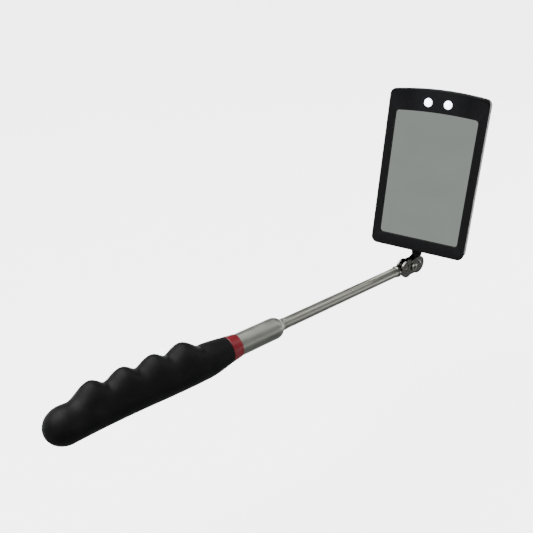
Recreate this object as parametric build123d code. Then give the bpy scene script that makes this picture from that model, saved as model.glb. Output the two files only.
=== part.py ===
from build123d import *
import math
import os

# Telescoping inspection mirror with a lit rectangular head.
# Millimetres. The tool axis is +X, from the centre of the butt's flat (the origin) towards the
# head. The head stands raised on its swivel, its mirror turned back towards the handle.

# Handle
GRIP_LENGTH = 94.8
GRIP_RADIUS = 8.95
UNDERSIDE_SWELL = 0.4
WAIST_X = 30.0
FULLEST_X = 73.0
NECK_START = 80.0
GRIP_ROLL = 18.0            # finger ridges lean this far from +Z towards +Y
RIDGE_FIRST = 24.3
RIDGE_PITCH = 15.5
RIDGE_COUNT = 4
RIDGE_HEIGHT = 14.0         # first crest above the tool axis
RIDGE_FALL = 0.15           # each further crest is this much lower
RIDGE_FULLNESS = 0.72       # below 1 the crests are broad and the valleys narrow
RIDGE_RUN_IN = 11.0
RIDGE_RUN_OUT = 9.0
VALLEY_HEIGHT = 10.4
VALLEY_AFTER_CREST = 0.42   # share of the pitch, so the head-side flank is the steep one
NECK_RADIUS = 7.05
TOP_HOLLOW = 0.9            # how much lower the neck is on top than underneath, at its start
RING_LENGTH = 6.3
SLEEVE_RADIUS = 6.0
CORE_RADIUS = 5.6           # the sleeve's turned-down part, inside the grip and the ring
SLEEVE_WALL = 0.8
SLEEVE_START = 10.0
SHOULDER_X = 124.9
SLEEVE_END = 132.7
DOME_LENGTH = 9.6
BUTT_FLAT = 0.35            # how far the domed end is cut back
TAIL_X = DOME_LENGTH - BUTT_FLAT
GRIP_SECTIONS = 45

# Telescope
TUBE_RADII = [3.2, 2.7, 2.2, 1.7]
ROD_RADIUS = 1.2
TUBE_WALL = 0.25
TUBE_END = 225.8
TUBE_START = 72.0
START_STEP = 2.0            # each section starts this much further in than the one around it
FIRST_SECTION_GAP = 4.0
MOUTH_LENGTH = 3.0
SHIM_LENGTH = 6.0
RUNNING = 0.03              # radial clearance of sliding and turning fits

# Swivel
BALL_RADIUS = 3.0
BALL_1_X = 235.3
BALL_SPACING = 10.6
STUD_RADIUS = 1.3
PLATE_GAP = 3.0
PLATE_THICKNESS = 1.2
PLATE_RADIUS = 5.8
WAIST_RADIUS = 4.9          # half the plate's width at the clamp screw
CUP_RADIUS = 3.9
FERRULE_RADIUS = 3.7
CLAMP_SCREW_RADIUS = 1.25

# Head: its own right, up and face directions
HEAD_UP = Vector(0.1384, -0.0282, 0.99).normalized()
HEAD_FACE = Vector(-0.9221, -0.3684, 0.1185).normalized()
HEAD_WIDTH = 61.5
HEAD_HEIGHT = 99.5          # at the corners
TOP_ARCH = 2.4              # rise of the arched top edge above its corners
HEAD_THICKNESS = 9.4
HEAD_CORNER = 4.2
HEAD_DRAFT = 2.0            # degrees by which the sides lean in towards the back
BALL_2_TO_HEAD = 9.4
SPLIT_Z = 0.3               # where the front frame meets the rear shell
WALL = 1.8
REAR_WALL = 1.6
WINDOW_WIDTH = 51.3
WINDOW_HEIGHT = 79.0
WINDOW_BOTTOM = 8.0
WINDOW_ARCH = 1.2
WINDOW_CORNER = 2.2
GLASS_OVERLAP = 1.3
GLASS_THICKNESS = 2.0
LIP_THICKNESS = 1.2
PAD_THICKNESS = 0.8
LED_RADIUS = 2.5
LED_SPACING = 12.2
LED_ABOVE_WINDOW = 5.5
BOARD_THICKNESS = 1.6
CELL_RADIUS = 10.0
CELL_THICKNESS = 3.2
CELL_OFFSET = 11.0
CELL_HEIGHT = 43.0          # up the head
DOOR_WIDTH = 46.0
DOOR_HEIGHT = 25.0
DOOR_GAP = 0.2
SCREW_SIDE = 24.6
SCREW_LOW = 4.4
SCREW_HIGH = 93.0
KNOB_TRAVEL = 4.0

FACE_Z = HEAD_THICKNESS / 2
GLASS_Z = FACE_Z - LIP_THICKNESS - GLASS_THICKNESS
PAD_Z = GLASS_Z - PAD_THICKNESS
FLOOR_Z = -FACE_Z + REAR_WALL
LED_V = WINDOW_BOTTOM + WINDOW_HEIGHT + WINDOW_ARCH + LED_ABOVE_WINDOW
BOARD_Z = -1.2
CELL_Z = SPLIT_Z - CELL_THICKNESS
CONTACT = 0.3
BALL_2 = Vector(BALL_1_X + BALL_SPACING, 0, 0)
HEAD_BASE = BALL_2 + HEAD_UP * BALL_2_TO_HEAD
CLAMP_AXIS = Vector(1, 0, 0).cross(HEAD_UP).normalized()

os.makedirs("parts", exist_ok=True)
head_plane = Plane(origin=HEAD_BASE, x_dir=HEAD_UP.cross(HEAD_FACE), z_dir=HEAD_FACE)
link_plane = Plane(origin=(BALL_1_X, 0, 0), x_dir=(1, 0, 0), z_dir=CLAMP_AXIS)
stud_plane = Plane(origin=BALL_2, x_dir=HEAD_FACE, z_dir=HEAD_UP)


def save(node, shape):
    shape.label = node
    export_step(shape, f"parts/{node}.step")


def turned(points):
    """A solid of revolution about the X axis, from (x, radius) corners."""
    outline = Polyline(*[(x, r, 0) for x, r in points], close=True)
    return revolve(make_face(outline), Axis.X)


def bar(x0, x1, radius, bore=0.0):
    """A round bar or tube along the X axis."""
    if not bore:
        return turned([(x0, 0), (x1, 0), (x1, radius), (x0, radius)])
    return turned([(x0, bore), (x1, bore), (x1, radius), (x0, radius)])


def placed(plane, shape):
    return plane.location * shape


def slab(width, height, z0, z1, centre=(0, 0), corner=0.0):
    """A plate in a local frame, with rounded upright corners."""
    face = RectangleRounded(width, height, corner) if corner else Rectangle(width, height)
    return Pos(centre[0], centre[1], z0) * extrude(face, z1 - z0)


def disc(radius, z0, z1, centre=(0, 0)):
    return Pos(centre[0], centre[1], (z0 + z1) / 2) * Cylinder(radius, z1 - z0)


def cross_slot(length, width, z0, z1, centre):
    """A cutter for a cross-head screw's recess."""
    return slab(length, width, z0, z1, centre) + slab(width, length, z0, z1, centre)


def arched(width, bottom, height, arch, corner):
    """An upright rectangle with rounded corners and an arched top edge, as a face."""
    half = width / 2
    top = bottom + height
    base = Line((-half, bottom), (half, bottom))
    right = Line((half, bottom), (half, top))
    crown = ThreePointArc((half, top), (0, top + arch), (-half, top))
    left = Line((-half, top), (-half, bottom))
    face = make_face(Curve() + [base, right, crown, left])
    return fillet(face.vertices(), corner)


# --- Handle ---

def base_radius(x):
    """Radius of the grip's plain underside: waisted, then fuller, then drawn in to the neck."""
    wave = math.cos(math.pi * (x - FULLEST_X) / (FULLEST_X - WAIST_X))
    radius = GRIP_RADIUS + UNDERSIDE_SWELL * wave
    if x <= NECK_START:
        return radius
    draw_in = ((x - NECK_START) / (GRIP_LENGTH - NECK_START)) ** 1.6
    return radius + (NECK_RADIUS - radius) * draw_in


def swell(share):
    """A smooth rise from 0 to 1 as share goes from 0 to 1."""
    share = min(1.0, max(0.0, share))
    return ((1 - math.cos(math.pi * share)) / 2) ** RIDGE_FULLNESS


def crest_height(ridge):
    return RIDGE_HEIGHT - RIDGE_FALL * ridge


def ridge_height(x):
    """Height of the fingered upper side above the tool axis."""
    last = RIDGE_COUNT - 1
    turns = (x - RIDGE_FIRST) / RIDGE_PITCH
    if turns < 0:
        foot = base_radius(x)
        swing = swell(1 - (RIDGE_FIRST - x) / RIDGE_RUN_IN)
        return foot + (crest_height(0) - foot) * swing
    if turns >= last:
        foot = base_radius(x) - TOP_HOLLOW * (GRIP_LENGTH - x) / (GRIP_LENGTH - NECK_START)
        swing = swell(1 - (x - RIDGE_FIRST - RIDGE_PITCH * last) / RIDGE_RUN_OUT)
        return foot + (crest_height(last) - foot) * swing
    share = turns % 1.0
    if share < VALLEY_AFTER_CREST:
        swing = swell(1 - share / VALLEY_AFTER_CREST)
    else:
        swing = swell((share - VALLEY_AFTER_CREST) / (1 - VALLEY_AFTER_CREST))
    return VALLEY_HEIGHT + (crest_height(turns) - VALLEY_HEIGHT) * swing


def grip_section(x):
    """A round lower half under a half ellipse as high as the finger ridge."""
    roll = math.radians(GRIP_ROLL)
    across = (0, math.cos(roll), -math.sin(roll))
    radius = base_radius(x)
    lower = CenterArc((0, 0), radius, 180, 180)
    upper = EllipticalCenterArc((0, 0), radius, ridge_height(x), start_angle=0, arc_size=180)
    return Plane(origin=(x, 0, 0), x_dir=across, z_dir=(1, 0, 0)) * make_face(Curve() + [lower, upper])


def butt_dome():
    """The rounded end, cut back to a small flat."""
    radius = base_radius(TAIL_X)
    ball = scale(Sphere(radius), (DOME_LENGTH / radius, 1, 1))
    keep = Pos(TAIL_X / 2, 0, 0) * Box(TAIL_X, 4 * radius, 4 * radius)
    return Pos(TAIL_X, 0, 0) * ball & keep


def grip():
    """The soft grip: ridged body, domed butt with a small flat, and a blind bore for the sleeve."""
    step = (GRIP_LENGTH - TAIL_X) / GRIP_SECTIONS
    body = loft([grip_section(TAIL_X + step * section) for section in range(GRIP_SECTIONS + 1)])
    return body + butt_dome() - bar(SLEEVE_START, GRIP_LENGTH + 1, CORE_RADIUS)


def collar_ring():
    x0 = GRIP_LENGTH
    x1 = x0 + RING_LENGTH
    front = SLEEVE_RADIUS + 0.15
    return turned([(x0, CORE_RADIUS), (x1, CORE_RADIUS), (x1, front), (x1 - 0.5, front + 0.15),
                   (x0 + 0.5, NECK_RADIUS), (x0, NECK_RADIUS - 0.2)])


def handle_tube():
    """The metal sleeve, swaged down onto the outer telescope tube at its nose."""
    tube = TUBE_RADII[0]
    knee = SHOULDER_X + 4.6
    corner = (knee, tube + 1.0)
    crown = ThreePointArc((SHOULDER_X, SLEEVE_RADIUS), (SHOULDER_X + 3.2, SLEEVE_RADIUS - 0.75), corner)
    foot = ThreePointArc(corner, (knee + 0.9, tube + 0.45), (SLEEVE_END, tube + 0.2))
    inner = SLEEVE_RADIUS - SLEEVE_WALL
    lines = Polyline((SLEEVE_END, tube + 0.2), (SLEEVE_END, tube), (knee - 1.0, tube),
                     (SHOULDER_X - 0.4, inner), (SLEEVE_START, inner),
                     (SLEEVE_START, CORE_RADIUS), (GRIP_LENGTH + RING_LENGTH, CORE_RADIUS),
                     (GRIP_LENGTH + RING_LENGTH, SLEEVE_RADIUS), (SHOULDER_X, SLEEVE_RADIUS))
    return revolve(make_face(Curve() + [crown, foot, lines]), Axis.X)


def rear_bush():
    bush = bar(TUBE_START - 2, TUBE_START + 10, SLEEVE_RADIUS - SLEEVE_WALL, TUBE_RADII[0])
    return bush - bush_grooves()


def bush_grooves():
    """Three shallow moulding grooves along the bush."""
    return [Rot(angle, 0, 0) * Pos(TUBE_START + 4, 0, SLEEVE_RADIUS - SLEEVE_WALL) * Box(14, 1.6, 1.0)
            for angle in (0, 120, 240)]


# --- Telescope ---

def section_start(number):
    """Where telescope section number starts: 1 is the fixed outer tube."""
    if number == 1:
        return TUBE_START
    return TUBE_START + FIRST_SECTION_GAP + START_STEP * (number - 2)


def telescope_tube(number):
    """A thin tube whose front end is rolled in to guide the next section."""
    radius = TUBE_RADII[number - 1]
    radii = TUBE_RADII + [ROD_RADIUS]
    bore = radius - TUBE_WALL
    mouth = radii[number] + RUNNING
    start = section_start(number)
    rim = 0.12
    return turned([(start, bore), (TUBE_END - MOUTH_LENGTH, bore), (TUBE_END - MOUTH_LENGTH, mouth),
                   (TUBE_END, mouth), (TUBE_END, radius - rim), (TUBE_END - rim, radius), (start, radius)])


def friction_shim(number):
    """A split spring sleeve fixed round the inner end of a section."""
    radii = TUBE_RADII + [ROD_RADIUS]
    start = section_start(number)
    outer = radii[number - 2] - TUBE_WALL - RUNNING
    sleeve = bar(start, start + SHIM_LENGTH, outer, radii[number - 1])
    slit = Pos(start + SHIM_LENGTH / 2, 0, outer) * Box(SHIM_LENGTH + 1, 0.5, outer)
    return sleeve - slit


def tip_rod():
    return bar(section_start(5), BALL_1_X - PLATE_RADIUS - 1.2, ROD_RADIUS)


def tip_ferrule():
    """The end cap that turns on the rod and carries the shaft ball."""
    x0 = TUBE_END + 0.2
    x1 = BALL_1_X - PLATE_RADIUS - 0.5
    bore = ROD_RADIUS + RUNNING
    return turned([(x0, bore), (x1 - 0.6, bore), (x1 - 0.6, 0), (x1, 0), (x1, FERRULE_RADIUS - 1.1),
                   (x1 - 1.2, FERRULE_RADIUS), (x0 + 0.4, FERRULE_RADIUS), (x0, FERRULE_RADIUS - 0.4)])


# --- Swivel ---

def shaft_ball():
    neck = bar(BALL_1_X - PLATE_RADIUS - 0.5, BALL_1_X - 2.0, STUD_RADIUS)
    return neck + Pos(BALL_1_X, 0, 0) * Sphere(BALL_RADIUS)


def clamp_plate(side):
    """A waisted, stamped plate with a cup over each ball. side is +1 or -1 along the clamp axis."""
    inner = PLATE_GAP / 2
    outer = inner + PLATE_THICKNESS
    middle = BALL_SPACING / 2
    plate = slab(BALL_SPACING, 2 * WAIST_RADIUS, inner, outer, (middle, 0))
    for x in (0, BALL_SPACING):
        plate += disc(PLATE_RADIUS, inner, outer, (x, 0))
    plate -= disc(CLAMP_SCREW_RADIUS + 0.1, 0, outer + 1, (middle, 0))
    for x in (0, BALL_SPACING):
        cup = Pos(x, 0, 0) * Sphere(CUP_RADIUS)
        keep = disc(CUP_RADIUS, inner, CUP_RADIUS - 0.5, (x, 0))
        plate += cup & keep
    for x in (0, BALL_SPACING):
        plate -= Pos(x, 0, 0) * Sphere(BALL_RADIUS + RUNNING)
    return placed(link_plane, plate if side > 0 else Rot(180, 0, 0) * plate)


def clamp_screw():
    """A cross-head screw through both plates, its head against the front one."""
    middle = BALL_SPACING / 2
    seat = PLATE_GAP / 2 + PLATE_THICKNESS
    head = disc(2.35, seat, seat + 1.6, (middle, 0))
    head = fillet(head.edges().filter_by(GeomType.CIRCLE).sort_by(Axis.Z)[-1:], 0.7)
    shank = disc(CLAMP_SCREW_RADIUS, -seat - 3.2, seat, (middle, 0))
    return placed(link_plane, head + shank - cross_slot(2.6, 0.6, seat + 0.8, seat + 2, (middle, 0)))


def lock_washer():
    middle = BALL_SPACING / 2
    seat = -PLATE_GAP / 2 - PLATE_THICKNESS
    ring = disc(2.4, seat - 0.5, seat, (middle, 0))
    ring -= disc(CLAMP_SCREW_RADIUS, seat - 1, seat + 1, (middle, 0))
    split = Pos(middle, 2, seat - 0.25) * Rot(0, 35, 0) * Box(0.35, 3, 2)
    return placed(link_plane, ring - split)


def clamp_nut():
    middle = BALL_SPACING / 2
    seat = -PLATE_GAP / 2 - PLATE_THICKNESS - 0.5
    hexagon = Rot(0, 0, 30) * RegularPolygon(2.5, 6, major_radius=False)
    nut = Pos(middle, 0, seat - 2.0) * extrude(hexagon, 2.0)
    return placed(link_plane, nut - disc(CLAMP_SCREW_RADIUS, seat - 3, seat + 1, (middle, 0)))


def head_stud():
    """The upper ball with its stud, which turns in the head's socket."""
    ball = Sphere(BALL_RADIUS)
    stud = disc(STUD_RADIUS, 2.0, BALL_2_TO_HEAD + 6.8)
    groove = disc(STUD_RADIUS + 1, BALL_2_TO_HEAD + 5.2, BALL_2_TO_HEAD + 5.8)
    groove -= disc(STUD_RADIUS - 0.4, BALL_2_TO_HEAD + 5, BALL_2_TO_HEAD + 6)
    return placed(stud_plane, ball + stud - groove)


def retaining_ring():
    z0 = BALL_2_TO_HEAD + 5.2
    ring = disc(2.5, z0, z0 + 0.6) - disc(STUD_RADIUS - 0.4, z0 - 1, z0 + 2)
    mouth = Pos(2, 0, z0) * Box(4, 1.6, 3)
    return placed(stud_plane, ring - mouth)


# --- Head, in its own frame: x right, y up from the bottom edge, z out of the mirror ---

def head_outline(inset=0.0):
    return arched(HEAD_WIDTH - 2 * inset, inset, HEAD_HEIGHT - 2 * inset, TOP_ARCH,
                  max(0.6, HEAD_CORNER - inset))


def window(grow=0.0):
    return arched(WINDOW_WIDTH + 2 * grow, WINDOW_BOTTOM - grow, WINDOW_HEIGHT + 2 * grow, WINDOW_ARCH,
                  WINDOW_CORNER)


def raised(face, z0, z1):
    return Pos(0, 0, z0) * extrude(face, z1 - z0)


def screw_places():
    return [(x, y) for x in (-SCREW_SIDE, SCREW_SIDE) for y in (SCREW_LOW, SCREW_HIGH)]


def socket_room(clearance=0.0):
    """The seat for the swivel socket, half in each shell."""
    barrel = Pos(0, 2.4, 0) * Rot(90, 0, 0) * Cylinder(2.9 + clearance, 5.2)
    flange = Pos(0, 3.4, 0) * Rot(90, 0, 0) * Cylinder(3.7 + clearance, 1.2 + 2 * clearance)
    return barrel + flange


def head_body():
    """The whole head as one solid, widest at its face, with eased front and rounded back edges."""
    body = Pos(0, 0, FACE_Z) * extrude(head_outline(), HEAD_THICKNESS, dir=(0, 0, -1), taper=HEAD_DRAFT)
    body = chamfer(body.faces().sort_by(Axis.Z)[-1].edges(), 0.7)
    return fillet(body.faces().sort_by(Axis.Z)[0].edges(), 1.4)


def cavity():
    """The room inside both shells."""
    return head_outline(WALL + 1.0)


def front_frame():
    """The front frame: the face round the mirror, its side walls and the screw bosses."""
    shell = head_body() & slab(200, 300, SPLIT_Z, FACE_Z)
    shell -= raised(cavity(), SPLIT_Z - 1, FACE_Z - LIP_THICKNESS)
    shell -= raised(window(), 0, FACE_Z + 1)
    for x, y in screw_places():
        shell += disc(2.5, SPLIT_Z, FACE_Z - 0.9, (x, y)) - disc(0.8, SPLIT_Z - 1, FACE_Z - 1.6, (x, y))
    saddle = slab(10.4, 4.4, SPLIT_Z, FACE_Z - 0.8, (0, 2.8))
    shell += saddle
    shell -= raised(window(GLASS_OVERLAP), GLASS_Z - 3, FACE_Z - LIP_THICKNESS)
    for x in (-LED_SPACING / 2, LED_SPACING / 2):
        shell -= disc(LED_RADIUS + 0.1, 0, FACE_Z + 1, (x, LED_V))
    return placed(head_plane, shell - socket_room())


def rear_shell():
    """The back of the head: floor, walls, cell pocket, ribs, screw bosses and switch slot."""
    shell = head_body() & slab(200, 300, -FACE_Z, SPLIT_Z)
    shell -= raised(cavity(), FLOOR_Z, SPLIT_Z + 1)
    pocket = slab(DOOR_WIDTH + 2.4, DOOR_HEIGHT + 2.4, FLOOR_Z, SPLIT_Z, (0, CELL_HEIGHT), 2.0)
    shell += pocket
    for y in (17.0, 69.0, 83.5):
        shell += slab(HEAD_WIDTH - 2 * WALL - 2, 1.2, FLOOR_Z, SPLIT_Z, (0, y))
    for x, y in screw_places():
        shell += disc(2.5, FLOOR_Z, SPLIT_Z, (x, y))
    shell += slab(10.4, 4.4, FLOOR_Z, SPLIT_Z, (0, 2.8))
    shell -= slab(DOOR_WIDTH, DOOR_HEIGHT, -FACE_Z - 1, SPLIT_Z + 1, (0, CELL_HEIGHT), 1.2)
    for x, y in screw_places():
        shell -= disc(1.0, -FACE_Z - 1, SPLIT_Z + 1, (x, y)) + disc(2.0, -FACE_Z - 1, -FACE_Z + 1.4, (x, y))
    shell -= slab(KNOB_TRAVEL + 4.4, 3.4, -FACE_Z - 1, FLOOR_Z + 1, (0, LED_V), 0.4)
    return placed(head_plane, shell - socket_room())


def mirror_glass():
    glass = raised(window(GLASS_OVERLAP - 0.1), GLASS_Z, GLASS_Z + GLASS_THICKNESS)
    return placed(head_plane, glass)


def mirror_pad():
    """The foam that holds the glass against the frame, with the ribs of the rear shell behind it."""
    pad = raised(window(-1.0), PAD_Z, GLASS_Z)
    hollow = slab(DOOR_WIDTH, DOOR_HEIGHT, PAD_Z - 1, GLASS_Z + 1, (0, CELL_HEIGHT), 1.2)
    return placed(head_plane, pad - hollow)


def led(x):
    """A 5 mm lamp: flange, round body and domed lens."""
    foot = BOARD_Z + BOARD_THICKNESS
    shoulder = FACE_Z - 1.0
    body = disc(LED_RADIUS + 0.4, foot, foot + 0.8, (x, LED_V)) + disc(LED_RADIUS, foot, shoulder, (x, LED_V))
    dome = Pos(x, LED_V, shoulder) * Sphere(LED_RADIUS)
    body += dome & disc(LED_RADIUS, shoulder, FACE_Z + 1.4, (x, LED_V))
    return placed(head_plane, body)


def led_board():
    board = slab(34.0, 9.0, BOARD_Z, BOARD_Z + BOARD_THICKNESS, (0, LED_V - 0.5), 0.8)
    return placed(head_plane, board)


def switch_body():
    body = slab(12.0, 5.0, FLOOR_Z, BOARD_Z, (0, LED_V))
    slot = slab(KNOB_TRAVEL + 3.4, 2.6, FLOOR_Z - 1, FLOOR_Z + 1.1, (0, LED_V))
    return placed(head_plane, body - slot)


def switch_knob():
    """The slide button, at the on end of its travel, with its finger ribs."""
    x = -KNOB_TRAVEL / 2
    stem = slab(2.8, 2.2, FLOOR_Z + 0.1, -FACE_Z, (x, LED_V))
    stem += slab(2.8, 2.2, -FACE_Z - 0.2, FLOOR_Z + 0.9, (x, LED_V))
    button = slab(4.2, 5.2, -FACE_Z - 1.3, -FACE_Z - 0.15, (x, LED_V), 0.6)
    for step in (-1.1, 0, 1.1):
        button -= slab(0.4, 6.0, -FACE_Z - 1.6, -FACE_Z - 1.0, (x + step, LED_V))
    return placed(head_plane, stem + button)


def coin_cell(side):
    """A coin cell: a wide can with the smaller cap on its front side."""
    x = side * CELL_OFFSET
    can = disc(CELL_RADIUS, CELL_Z, SPLIT_Z - 0.7, (x, CELL_HEIGHT))
    can = fillet(can.edges().filter_by(GeomType.CIRCLE), 0.3)
    return placed(head_plane, can + disc(CELL_RADIUS - 1.4, SPLIT_Z - 0.7, SPLIT_Z, (x, CELL_HEIGHT)))


def front_contact():
    """The strip that joins the caps of both cells."""
    strip = slab(40.0, 6.0, SPLIT_Z, SPLIT_Z + CONTACT, (0, CELL_HEIGHT), 1.0)
    return placed(head_plane, strip)


def door_contact():
    strip = slab(34.0, 7.0, CELL_Z - 0.2, CELL_Z, (0, CELL_HEIGHT), 1.0)
    return placed(head_plane, strip)


def battery_door():
    """The cover over the cells, with a thumb hollow and grip lines at its lower end."""
    width = DOOR_WIDTH - 2 * DOOR_GAP
    height = DOOR_HEIGHT - 2 * DOOR_GAP
    door = slab(width, height, -FACE_Z, CELL_Z - 0.2, (0, CELL_HEIGHT), 1.0)
    low = CELL_HEIGHT - height / 2
    for step in range(4):
        door -= slab(12.0 - 1.6 * step, 0.6, -FACE_Z - 1, -FACE_Z + 0.4, (0, low + 3.0 + 1.3 * step))
    return placed(head_plane, door)


def case_screws():
    """The screws that hold the rear shell to the front frame."""
    group = []
    for x, y in screw_places():
        screw = disc(1.9, -FACE_Z + 0.2, -FACE_Z + 1.4, (x, y)) + disc(0.8, -FACE_Z + 1, FACE_Z - 1.7, (x, y))
        screw -= cross_slot(2.2, 0.5, -FACE_Z - 1, -FACE_Z + 0.8, (x, y))
        group.append(placed(head_plane, screw))
    return Compound(children=group)


def swivel_socket():
    """The tapered socket at the bottom of the head, in which the stud turns."""
    reach = BALL_2_TO_HEAD - PLATE_RADIUS - 0.3
    cone = Pos(0, -reach / 2, 0) * Rot(-90, 0, 0) * Cone(3.2, 3.5, reach)
    bore = Pos(0, 2, 0) * Rot(90, 0, 0) * Cylinder(STUD_RADIUS + RUNNING, 14)
    return placed(head_plane, cone + socket_room() - bore)


save("grip", grip())
save("collar_ring", collar_ring())
save("handle_tube", handle_tube())
save("rear_bush", rear_bush())
for section in (1, 2, 3, 4):
    save(f"tube_{section}", telescope_tube(section))
for section in (2, 3, 4, 5):
    save(f"shim_{section}", friction_shim(section))
save("tip_rod", tip_rod())
save("tip_ferrule", tip_ferrule())
save("shaft_ball", shaft_ball())
save("clamp_plate_front", clamp_plate(1))
save("clamp_plate_rear", clamp_plate(-1))
save("clamp_screw", clamp_screw())
save("lock_washer", lock_washer())
save("clamp_nut", clamp_nut())
save("head_stud", head_stud())
save("retaining_ring", retaining_ring())
save("swivel_socket", swivel_socket())
save("front_frame", front_frame())
save("rear_shell", rear_shell())
save("mirror_glass", mirror_glass())
save("mirror_pad", mirror_pad())
save("led_left", led(-LED_SPACING / 2))
save("led_right", led(LED_SPACING / 2))
save("led_board", led_board())
save("switch_body", switch_body())
save("switch_knob", switch_knob())
save("cell_left", coin_cell(-1))
save("cell_right", coin_cell(1))
save("front_contact", front_contact())
save("door_contact", door_contact())
save("battery_door", battery_door())
save("case_screws", case_screws())
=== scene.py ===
import math
import bpy
from mathutils import Matrix, Vector


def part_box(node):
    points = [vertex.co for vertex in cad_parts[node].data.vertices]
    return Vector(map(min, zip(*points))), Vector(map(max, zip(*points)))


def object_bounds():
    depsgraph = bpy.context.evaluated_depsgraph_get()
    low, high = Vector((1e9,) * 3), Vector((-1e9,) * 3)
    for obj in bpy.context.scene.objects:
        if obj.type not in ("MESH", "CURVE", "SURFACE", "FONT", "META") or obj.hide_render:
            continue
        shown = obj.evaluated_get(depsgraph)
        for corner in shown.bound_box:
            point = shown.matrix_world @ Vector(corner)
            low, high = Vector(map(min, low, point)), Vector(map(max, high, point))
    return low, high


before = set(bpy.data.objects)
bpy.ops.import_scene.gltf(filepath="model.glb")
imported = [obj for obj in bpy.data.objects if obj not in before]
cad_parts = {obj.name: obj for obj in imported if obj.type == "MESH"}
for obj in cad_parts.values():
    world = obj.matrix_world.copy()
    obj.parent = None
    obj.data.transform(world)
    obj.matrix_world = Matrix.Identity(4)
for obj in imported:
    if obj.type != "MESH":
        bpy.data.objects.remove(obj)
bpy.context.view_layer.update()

MM = 0.001
HEAD_SWING = 0.15           # room under the tool for the head at the limits of its joints
FLOOR_HALF = 60.0           # the floor reaches the horizon in every view
EYE = (-195.34, -240.79, 174.91)        # millimetres from the front end of the sleeve
WHITE = (1.0, 1.0, 1.0)

sleeve_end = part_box("handle_tube")[1].x
floor_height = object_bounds()[0].z - HEAD_SWING


def set_range(node, low, high, out_low, out_high):
    """The four limits of a Map Range node."""
    node.inputs["From Min"].default_value = low
    node.inputs["From Max"].default_value = high
    node.inputs["To Min"].default_value = out_low
    node.inputs["To Max"].default_value = out_high


# --- Materials ---

class Look:
    """A Principled material whose colour, roughness and relief come from noise on the part."""

    def __init__(self, name, metallic=0.0):
        self.material = bpy.data.materials.new(name)
        self.material.use_nodes = True
        self.tree = self.material.node_tree
        self.shader = self.tree.nodes["Principled BSDF"]
        self.shader.inputs["Metallic"].default_value = metallic
        self.place = self.add("ShaderNodeTexCoord").outputs["Object"]
        self.relief = None

    def add(self, kind, **settings):
        node = self.tree.nodes.new(kind)
        for key, value in settings.items():
            setattr(node, key, value)
        return node

    def join(self, source, target):
        self.tree.links.new(source, target)

    def set(self, **values):
        """Constant values go on the shader's own sockets."""
        for key, value in values.items():
            self.shader.inputs[key.replace("_", " ")].default_value = value
        return self

    def stretched(self, stretch):
        """The part's own coordinates, squeezed along each axis by stretch."""
        mapping = self.add("ShaderNodeMapping")
        mapping.inputs["Scale"].default_value = stretch
        self.join(self.place, mapping.inputs["Vector"])
        return mapping.outputs["Vector"]

    def noise(self, size, detail, stretch=None):
        """Noise whose features are about size metres across."""
        texture = self.add("ShaderNodeTexNoise")
        texture.inputs["Scale"].default_value = 1 / size
        texture.inputs["Detail"].default_value = detail
        source = self.stretched(stretch) if stretch else self.place
        self.join(source, texture.inputs["Vector"])
        return texture.outputs["Fac"]

    def cells(self, size):
        """Distance from the middle of irregular cells about size metres across."""
        texture = self.add("ShaderNodeTexVoronoi")
        texture.inputs["Scale"].default_value = 1 / size
        self.join(self.place, texture.inputs["Vector"])
        return texture.outputs["Distance"]

    def edges(self):
        """White on sharp outer edges, where handling polishes them."""
        geometry = self.add("ShaderNodeNewGeometry")
        return self.between(geometry.outputs["Pointiness"], 0.52, 0.60, 0.0, 1.0)

    def between(self, value, low, high, out_low, out_high):
        """value, which runs from low to high, spread from out_low to out_high."""
        spread = self.add("ShaderNodeMapRange")
        set_range(spread, low, high, out_low, out_high)
        self.join(value, spread.inputs["Value"])
        return spread.outputs["Result"]

    def blend(self, share, first, second):
        """A colour between two colours, or two earlier blends."""
        mix = self.add("ShaderNodeMix", data_type="RGBA")
        self.join(share, mix.inputs["Factor"])
        for value, socket in ((first, mix.inputs[6]), (second, mix.inputs[7])):
            if isinstance(value, tuple):
                socket.default_value = (*value, 1)
            else:
                self.join(value, socket)
        return mix.outputs[2]

    def colour(self, output):
        """The base colour from a blend."""
        self.join(output, self.shader.inputs["Base Color"])
        return self

    def roughness(self, value, low, high):
        """Roughness from low to high as the noise value rises."""
        self.join(self.between(value, 0.3, 0.7, low, high), self.shader.inputs["Roughness"])
        return self

    def bump(self, height, depth, strength):
        """Relief of the given depth in metres, laid over any earlier relief."""
        node = self.add("ShaderNodeBump")
        node.inputs["Distance"].default_value = depth
        node.inputs["Strength"].default_value = strength
        self.join(height, node.inputs["Height"])
        if self.relief:
            self.join(self.relief, node.inputs["Normal"])
        self.relief = node.outputs["Normal"]
        self.join(self.relief, self.shader.inputs["Normal"])
        return self


def soft_grip():
    """Dark soft-touch moulding: fine matt grain, faint handling marks and a little dust."""
    look = Look("soft_grip")
    dust = look.between(look.noise(9 * MM, 4), 0.52, 0.75, 0.0, 0.5)
    look.colour(look.blend(dust, (0.0008, 0.0008, 0.0010), (0.0030, 0.0030, 0.0033)))
    look.roughness(look.noise(6 * MM, 4), 0.46, 0.62)
    look.bump(look.noise(0.35 * MM, 2), 0.05 * MM, 0.5)
    look.bump(look.noise(5 * MM, 3), 0.10 * MM, 0.35)
    return look.set(Specular_IOR_Level=0.045).material


def red_plastic():
    """The collar ring: deep red moulding with a soft sheen."""
    look = Look("red_plastic")
    mottle = look.noise(2.5 * MM, 3)
    look.colour(look.blend(mottle, (0.036, 0.0006, 0.0022), (0.058, 0.0010, 0.0034)))
    look.roughness(look.noise(1.2 * MM, 3), 0.30, 0.46)
    look.bump(look.noise(0.5 * MM, 2), 0.03 * MM, 0.5)
    return look.set(Specular_IOR_Level=0.12).material


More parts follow.
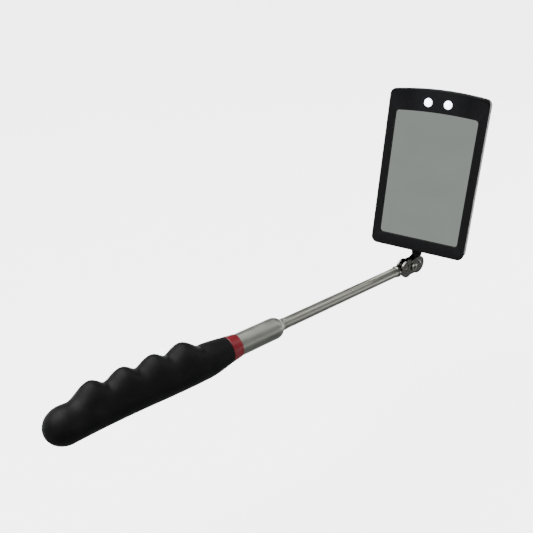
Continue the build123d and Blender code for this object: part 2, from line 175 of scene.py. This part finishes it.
def turned_metal():
    """Satin plated sleeve: faint rings from turning, hazy smudges."""
    look = Look("turned_metal", metallic=1.0)
    rings = look.noise(1 * MM, 3, stretch=(9.0, 0.15, 0.15))
    haze = look.noise(7 * MM, 4)
    look.colour(look.blend(haze, (0.092, 0.094, 0.084), (0.132, 0.134, 0.120)))
    look.roughness(haze, 0.36, 0.46)
    look.bump(rings, 0.012 * MM, 0.6)
    look.bump(look.noise(0.3 * MM, 2), 0.006 * MM, 0.5)
    return look.material


def drawn_metal():
    """Plated tube: fine draw lines along the axis, light scuffs from sliding."""
    look = Look("drawn_tube", metallic=1.0)
    lines = look.noise(0.5 * MM, 2, stretch=(0.02, 2.5, 2.5))
    scuffs = look.noise(3 * MM, 5, stretch=(0.5, 1, 1))
    look.colour(look.blend(scuffs, (0.100, 0.101, 0.090), (0.150, 0.150, 0.134)))
    look.roughness(scuffs, 0.26, 0.38)
    look.bump(lines, 0.006 * MM, 0.5)
    return look.material


def polished_metal(name, base, low, high):
    """Plated stamping or ball: clear reflections broken by smudges and tiny dents."""
    look = Look(name, metallic=1.0)
    smudge = look.noise(1.6 * MM, 4)
    look.colour(look.blend(smudge, tuple(0.8 * c for c in base), base))
    look.roughness(smudge, low, high)
    look.bump(look.noise(0.8 * MM, 3), 0.02 * MM, 0.45)
    return look.material


def moulded_black():
    """The head's black moulding: fine spark texture, polished a little on its edges."""
    look = Look("moulded_black")
    mottle = look.noise(12 * MM, 4)
    black = look.blend(mottle, (0.0006, 0.0006, 0.0006), (0.0009, 0.0009, 0.00096))
    look.colour(look.blend(look.edges(), black, (0.004, 0.004, 0.0044)))
    look.roughness(look.noise(3 * MM, 4), 0.34, 0.50)
    look.bump(look.cells(0.28 * MM), 0.02 * MM, 0.5)
    look.bump(look.noise(14 * MM, 2), 0.12 * MM, 0.25)
    return look.set(Specular_IOR_Level=0.025).material


def silvered_glass():
    """The mirror: a silvered back behind clear glass, with wiping haze and a slight waviness."""
    look = Look("silvered_glass", metallic=1.0)
    haze = look.noise(16 * MM, 5, stretch=(1, 0.6, 1.3))
    specks = look.between(look.noise(0.9 * MM, 2), 0.70, 0.80, 0.0, 0.35)
    silver = look.blend(haze, (0.42, 0.44, 0.42), (0.47, 0.48, 0.46))
    look.colour(look.blend(specks, silver, (0.32, 0.335, 0.32)))
    look.roughness(haze, 0.03, 0.10)
    look.bump(look.noise(30 * MM, 2), 0.02 * MM, 0.25)
    return look.set(Coat_Weight=0.5, Coat_Roughness=0.03).material


def lit_lamp():
    """A clear lens over a cold white chip: an even cold white glow whose tint wanders a little
    with fine noise.
    """
    look = Look("lit_lamp")
    glow = look.noise(1.5 * MM, 2)
    look.colour(look.blend(glow, (0.85, 0.90, 1.0), WHITE))
    look.roughness(glow, 0.06, 0.14)
    light = look.blend(glow, (0.62, 0.72, 1.0), (0.80, 0.87, 1.0))
    look.join(light, look.shader.inputs["Emission Color"])
    return look.set(Emission_Strength=5.0).material


def plain_grain(name, base, low, high, grain=0.6, metallic=0.0):
    """Small inner pieces: their own colour, grain and sheen."""
    look = Look(name, metallic=metallic)
    mottle = look.noise(4 * grain * MM, 4)
    look.colour(look.blend(mottle, tuple(0.75 * c for c in base), base))
    look.roughness(mottle, low, high)
    look.bump(look.noise(grain * MM, 3), 0.03 * MM, 0.5)
    return look.material


def circuit_board():
    """Green board with tinned pads scattered over it."""
    look = Look("circuit_board")
    pads = look.between(look.cells(3 * MM), 0.10, 0.16, 1.0, 0.0)
    green = look.blend(look.noise(2 * MM, 3), (0.008, 0.075, 0.028), (0.012, 0.12, 0.04))
    look.colour(look.blend(pads, green, (0.55, 0.54, 0.50)))
    look.roughness(look.noise(1 * MM, 2), 0.25, 0.4)
    return look.bump(pads, 0.05 * MM, 0.6).material


def dress(material, *names):
    """Gives the named CAD nodes this one material."""
    for name in names:
        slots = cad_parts[name].data.materials
        slots.clear()
        slots.append(material)


tube_finish = drawn_metal()
chrome = polished_metal("chrome", (0.080, 0.079, 0.072), 0.12, 0.26)
zinc = polished_metal("zinc_plate", (0.125, 0.123, 0.115), 0.20, 0.34)
black_moulding = moulded_black()
contact = plain_grain("nickel_strip", (0.62, 0.60, 0.53), 0.2, 0.35, 0.4, metallic=1.0)

dress(soft_grip(), "grip")
dress(red_plastic(), "collar_ring")
dress(turned_metal(), "handle_tube")
dress(tube_finish, "tube_1", "tube_2", "tube_3", "tube_4", "tip_rod")
dress(plain_grain("brass_spring", (0.62, 0.42, 0.16), 0.25, 0.4, 0.5, metallic=1.0),
      "shim_2", "shim_3", "shim_4", "shim_5")
dress(plain_grain("nylon", (0.72, 0.70, 0.62), 0.4, 0.55), "rear_bush")
dress(chrome, "tip_ferrule", "shaft_ball", "head_stud", "clamp_plate_front", "clamp_plate_rear")
dress(zinc, "clamp_screw", "lock_washer", "clamp_nut", "retaining_ring", "case_screws")
dress(black_moulding, "front_frame", "rear_shell", "battery_door", "swivel_socket")
dress(silvered_glass(), "mirror_glass")
dress(plain_grain("foam", (0.03, 0.03, 0.03), 0.8, 0.95, 0.4), "mirror_pad")
dress(lit_lamp(), "led_left", "led_right")
dress(circuit_board(), "led_board")
dress(plain_grain("switch_plastic", (0.02, 0.02, 0.02), 0.35, 0.5), "switch_body")
dress(plain_grain("knob_plastic", (0.035, 0.035, 0.037), 0.35, 0.5), "switch_knob")
dress(plain_grain("cell_can", (0.60, 0.60, 0.57), 0.18, 0.3, 0.8, metallic=1.0),
      "cell_left", "cell_right")
dress(contact, "front_contact", "door_contact")

# The mirror looks straight back along the tool, so the handle is kept out of its reflection.
for name in ("grip", "collar_ring", "handle_tube", "rear_bush", "tube_1", "tube_2", "tube_3",
             "tube_4", "shim_2", "shim_3", "shim_4", "shim_5", "tip_rod"):
    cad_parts[name].visible_glossy = False


# --- Floor, light and camera ---

def plain_mesh(name, corners, faces):
    """A new object made of flat faces."""
    mesh = bpy.data.meshes.new(name)
    mesh.from_pydata(corners, [], faces)
    thing = bpy.data.objects.new(name, mesh)
    bpy.context.scene.collection.objects.link(thing)
    return thing


def floor():
    """A plain pale floor below the lowest swing of the head."""
    signs = ((-1, -1), (1, -1), (1, 1), (-1, 1))
    corners = [(x * FLOOR_HALF, y * FLOOR_HALF, floor_height) for x, y in signs]
    plane = plain_mesh("floor", corners, [(0, 1, 2, 3)])
    look = Look("pale_floor")
    look.colour(look.blend(look.noise(0.3, 2), (0.86, 0.86, 0.86), (0.88, 0.88, 0.88)))
    look.roughness(look.noise(0.2, 2), 0.7, 0.8)
    plane.data.materials.append(look.set(Specular_IOR_Level=0.1).material)


def reflector():
    """Dim grey cards for the mirror and the metal to face. Only reflections show them."""
    back, front, right, left, top = -0.70, 0.60, -0.95, 0.55, 0.75
    base = floor_height + MM
    corners = [(front, right, base), (front, left, base), (back, left, base), (back, right, base),
               (back, left, top), (back, right, top)]
    card = plain_mesh("reflector", corners, [(0, 1, 2, 3), (3, 2, 4, 5)])
    material = bpy.data.materials.new("reflector")
    material.use_nodes = True
    tree = material.node_tree
    tree.nodes.clear()
    glow = tree.nodes.new("ShaderNodeEmission")
    glow.inputs["Color"].default_value = (0.95, 1.0, 0.97, 1)
    glow.inputs["Strength"].default_value = 0.62
    output = tree.nodes.new("ShaderNodeOutputMaterial")
    tree.links.new(glow.outputs["Emission"], output.inputs["Surface"])
    card.data.materials.append(material)
    card.visible_camera = card.visible_diffuse = card.visible_shadow = False


def studio():
    """A pale surround, bright above and behind the viewer and dimmer on the far side."""
    world = bpy.data.worlds.new("studio")
    bpy.context.scene.world = world
    world.use_nodes = True
    tree = world.node_tree
    tree.nodes.clear()
    place = tree.nodes.new("ShaderNodeTexCoord")
    towards = tree.nodes.new("ShaderNodeVectorMath")
    towards.operation = "DOT_PRODUCT"
    towards.inputs[1].default_value = Vector((-0.55, -0.65, 0.50)).normalized()
    ramp = tree.nodes.new("ShaderNodeMapRange")
    ramp.interpolation_type = "SMOOTHSTEP"
    set_range(ramp, -0.75, 0.65, 0.30, 1.25)
    background = tree.nodes.new("ShaderNodeBackground")
    output = tree.nodes.new("ShaderNodeOutputWorld")
    tree.links.new(place.outputs["Generated"], towards.inputs[0])
    tree.links.new(towards.outputs["Value"], ramp.inputs["Value"])
    tree.links.new(ramp.outputs["Result"], background.inputs["Strength"])
    tree.links.new(background.outputs["Background"], output.inputs["Surface"])
    background.inputs["Color"].default_value = (*WHITE, 1)


def hang(data, place, aim):
    """Puts a light at place, shining along aim."""
    lamp = bpy.data.objects.new(data.name, data)
    bpy.context.scene.collection.objects.link(lamp)
    lamp.location = place
    lamp.rotation_mode = "QUATERNION"
    lamp.rotation_quaternion = aim.to_track_quat("-Z", "Y")


def sky_panel(name, towards, energy, spread):
    """Even, soft light from one side that does not fade across the floor."""
    data = bpy.data.lights.new(name, "SUN")
    data.energy = energy
    data.angle = math.radians(spread)
    hang(data, (0, 0, 0), -Vector(towards))


def softbox(name, place, width, height, power):
    """A soft rectangular light aimed at the middle of the tool."""
    data = bpy.data.lights.new(name, "AREA")
    data.shape = "RECTANGLE"
    data.size = width
    data.size_y = height
    data.energy = power
    middle = Vector((sleeve_end, 0, 0.03))
    hang(data, place, middle - Vector(place))


def camera():
    """Looks down and along the tool from behind its right-hand side."""
    forward = Vector((0.6128, 0.6898, -0.3856)).normalized()
    right = Vector((0.7394, -0.6727, -0.0284))
    right = (right - forward * right.dot(forward)).normalized()
    data = bpy.data.cameras.new("camera")
    data.sensor_width = 36.0        # millimetres, as the lens
    data.lens = 43.55
    data.shift_x = -0.0751
    data.shift_y = -0.0374
    data.clip_start = 0.01
    view = bpy.data.objects.new("camera", data)
    bpy.context.scene.collection.objects.link(view)
    turn = Matrix((right, right.cross(forward), -forward)).transposed().to_4x4()
    place = Vector((sleeve_end, 0, 0)) + Vector(EYE) * MM
    view.matrix_world = Matrix.Translation(place) @ turn
    bpy.context.scene.camera = view


floor()
reflector()
studio()
sky_panel("ceiling", (-0.25, 0.30, 1.0), 15.0, 70)
softbox("key", (-0.80, 0.10, 1.00), 0.6, 0.6, 12)
softbox("fill", (1.10, -0.30, 0.70), 0.4, 0.8, 8)
camera()
